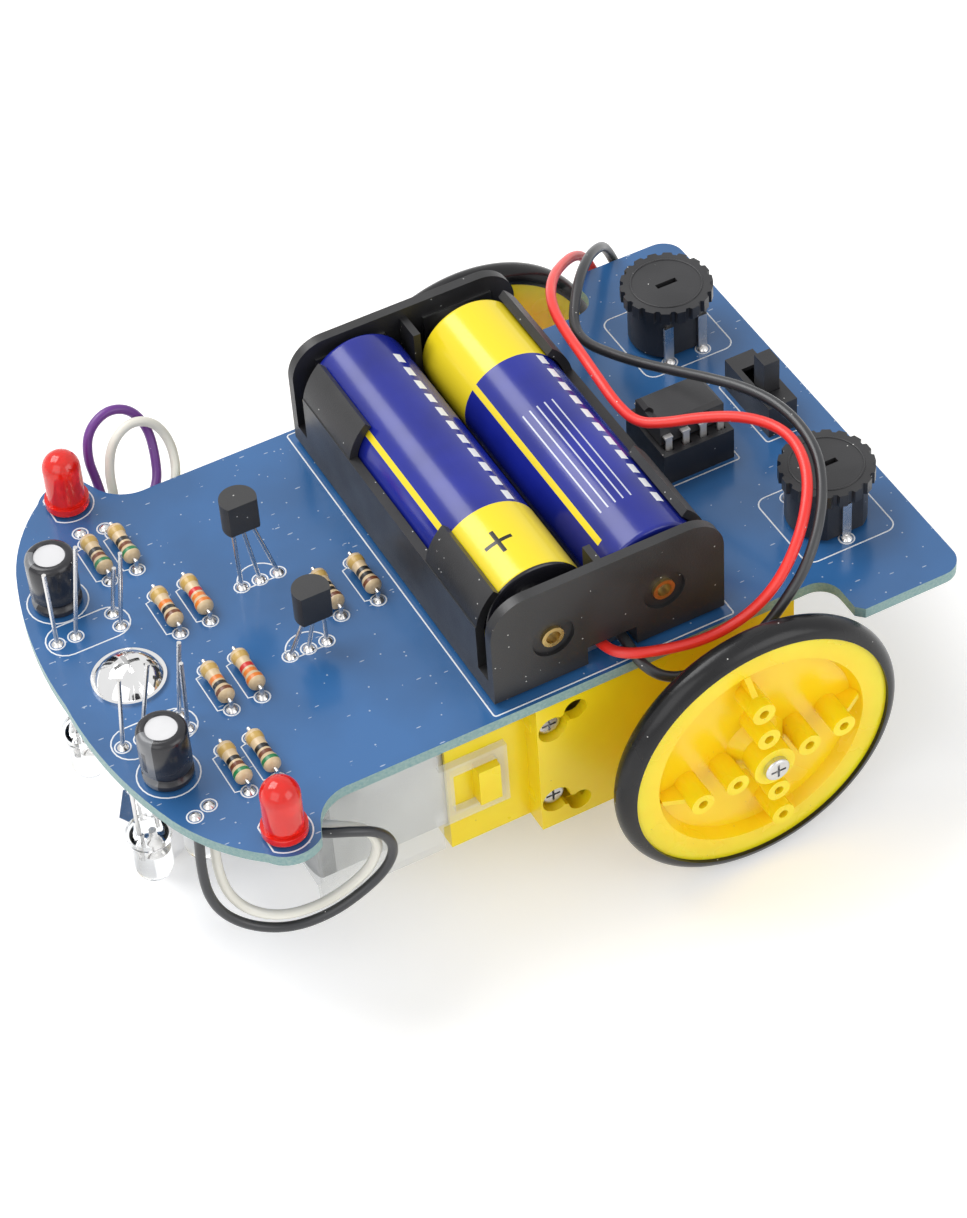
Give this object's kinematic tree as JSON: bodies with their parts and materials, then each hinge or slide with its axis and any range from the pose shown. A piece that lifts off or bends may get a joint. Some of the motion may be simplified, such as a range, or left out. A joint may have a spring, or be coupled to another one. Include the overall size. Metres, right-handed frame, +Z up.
{
  "type": "line follower robot",
  "caption": "Two-wheeled robot that follows a dark line on the floor, with a circuit board as its chassis, geared drive motors, a battery holder and a skid at the nose.",
  "frame": {"origin": "on the floor, below the middle of the circuit board", "axes": "+X to the nose, +Y to the left side of the robot, +Z up"},
  "size_m": [0.1073, 0.0876, 0.0501],
  "materials": {
    "board_blue": "blue solder mask on laminate, glossy",
    "black_plastic": "fine textured black",
    "gloss_black": "smooth black moulding",
    "battery_sleeve": "printed sleeve, blue and yellow",
    "tin": "tinned wire and plated steel",
    "brass": "rolled rivet",
    "foam": "closed cell foam tape",
    "resistor_body": "lacquered beige with colour bands",
    "red_lens": "red tinted resin",
    "clear_lens": "clear resin",
    "can_sleeve": "shrink sleeve with pale stripe",
    "polished_steel": "polished, nickel plated",
    "yellow_plastic": "yellow moulding",
    "motor_steel": "zinc plated can",
    "clear_strap": "clear moulded strap",
    "gear_plastic": "natural nylon",
    "tyre_rubber": "smooth black ring",
    "wire_red": "soft insulation",
    "wire_black": "soft insulation",
    "wire_white": "soft insulation",
    "wire_purple": "soft insulation"
  },
  "bodies": {
    "chassis": {"circuit_board": "board_blue", "battery_holder": "black_plastic", "holder_rivets": "brass", "holder_contacts": "tin", "battery_front": "battery_sleeve", "battery_rear": "battery_sleeve", "foam_pads": "foam", "chip_socket": "gloss_black", "comparator_chip": "black_plastic", "switch_housing": "black_plastic", "board_pins": "tin", "resistors": "resistor_body", "tinned_leads": "tin", "sensor_lamps": "clear_lens", "light_sensors": "clear_lens", "skid_screw": "polished_steel", "skid_nut": "polished_steel", "skid_cap_nut": "polished_steel", "case_screws": "polished_steel", "battery_wire_red": "wire_red", "battery_wire_black": "wire_black", "motor_wire_left_white": "wire_white", "motor_wire_left_black": "wire_black", "motor_wire_right_white": "wire_white", "motor_wire_right_purple": "wire_purple", "led_left": "red_lens", "capacitor_left": "can_sleeve", "transistor_left": "black_plastic", "trimmer_base_left": "gloss_black", "gearbox_outer_left": "yellow_plastic", "gearbox_inner_left": "yellow_plastic", "motor_can_left": "motor_steel", "motor_end_cap_left": "gloss_black", "motor_strap_left": "clear_strap", "led_right": "red_lens", "capacitor_right": "can_sleeve", "transistor_right": "black_plastic", "trimmer_base_right": "gloss_black", "gearbox_outer_right": "yellow_plastic", "gearbox_inner_right": "yellow_plastic", "motor_can_right": "motor_steel", "motor_end_cap_right": "gloss_black", "motor_strap_right": "clear_strap"},
    "drive_wheel_left": {"wheel_left": "yellow_plastic", "tyre_left": "tyre_rubber", "wheel_screw_left": "polished_steel", "output_shaft_left": "gear_plastic"},
    "idler_left": {"idler_gear_left": "gear_plastic"},
    "crown_left": {"crown_gear_left": "gear_plastic"},
    "rotor_left": {"motor_rotor_left": "motor_steel"},
    "dial_left": {"trimmer_dial_left": "black_plastic"},
    "drive_wheel_right": {"wheel_right": "yellow_plastic", "tyre_right": "tyre_rubber", "wheel_screw_right": "polished_steel", "output_shaft_right": "gear_plastic"},
    "idler_right": {"idler_gear_right": "gear_plastic"},
    "crown_right": {"crown_gear_right": "gear_plastic"},
    "rotor_right": {"motor_rotor_right": "motor_steel"},
    "dial_right": {"trimmer_dial_right": "black_plastic"},
    "switch_knob": {"switch_slider": "black_plastic"}
  },
  "joints": [
    {"name": "wheel_spin_left", "type": "hinge", "parent": "chassis", "child": "drive_wheel_left", "pos_m": [-0.02205, 0.038, 0.0201], "axis": [0, 1, 0], "continuous": true},
    {"name": "idler_spin_left", "type": "hinge", "parent": "chassis", "child": "idler_left", "pos_m": [-0.015, 0.024, 0.02307], "axis": [0, 1, 0], "continuous": true},
    {"name": "crown_spin_left", "type": "hinge", "parent": "chassis", "child": "crown_left", "pos_m": [-0.00795, 0.02, 0.0201], "axis": [0, 1, 0], "continuous": true},
    {"name": "rotor_spin_left", "type": "hinge", "parent": "chassis", "child": "rotor_left", "pos_m": [0.015, 0.01755, 0.0201], "axis": [1, 0, 0], "continuous": true},
    {"name": "dial_turn_left", "type": "hinge", "parent": "chassis", "child": "dial_left", "pos_m": [-0.0434, 0.02, 0.041], "axis": [0, 0, 1], "range_deg": [-105, 105]},
    {"name": "wheel_spin_right", "type": "hinge", "parent": "chassis", "child": "drive_wheel_right", "pos_m": [-0.02205, -0.038, 0.0201], "axis": [0, 1, 0], "continuous": true},
    {"name": "idler_spin_right", "type": "hinge", "parent": "chassis", "child": "idler_right", "pos_m": [-0.015, -0.024, 0.02307], "axis": [0, 1, 0], "continuous": true},
    {"name": "crown_spin_right", "type": "hinge", "parent": "chassis", "child": "crown_right", "pos_m": [-0.00795, -0.02, 0.0201], "axis": [0, 1, 0], "continuous": true},
    {"name": "rotor_spin_right", "type": "hinge", "parent": "chassis", "child": "rotor_right", "pos_m": [0.015, -0.01755, 0.0201], "axis": [1, 0, 0], "continuous": true},
    {"name": "dial_turn_right", "type": "hinge", "parent": "chassis", "child": "dial_right", "pos_m": [-0.0434, -0.02, 0.041], "axis": [0, 0, 1], "range_deg": [-105, 105]},
    {"name": "switch_slide", "type": "slide", "parent": "chassis", "child": "switch_knob", "axis": [0, -1, 0], "range_m": [0, 0.003]}
  ],
  "couplings": [
    {"joint": "idler_spin_left", "follows": "wheel_spin_left", "ratio": -3.25},
    {"joint": "crown_spin_left", "follows": "wheel_spin_left", "ratio": 10.562},
    {"joint": "rotor_spin_left", "follows": "wheel_spin_left", "ratio": -47.531},
    {"joint": "idler_spin_right", "follows": "wheel_spin_right", "ratio": -3.25},
    {"joint": "crown_spin_right", "follows": "wheel_spin_right", "ratio": 10.562},
    {"joint": "rotor_spin_right", "follows": "wheel_spin_right", "ratio": 47.531}
  ]
}
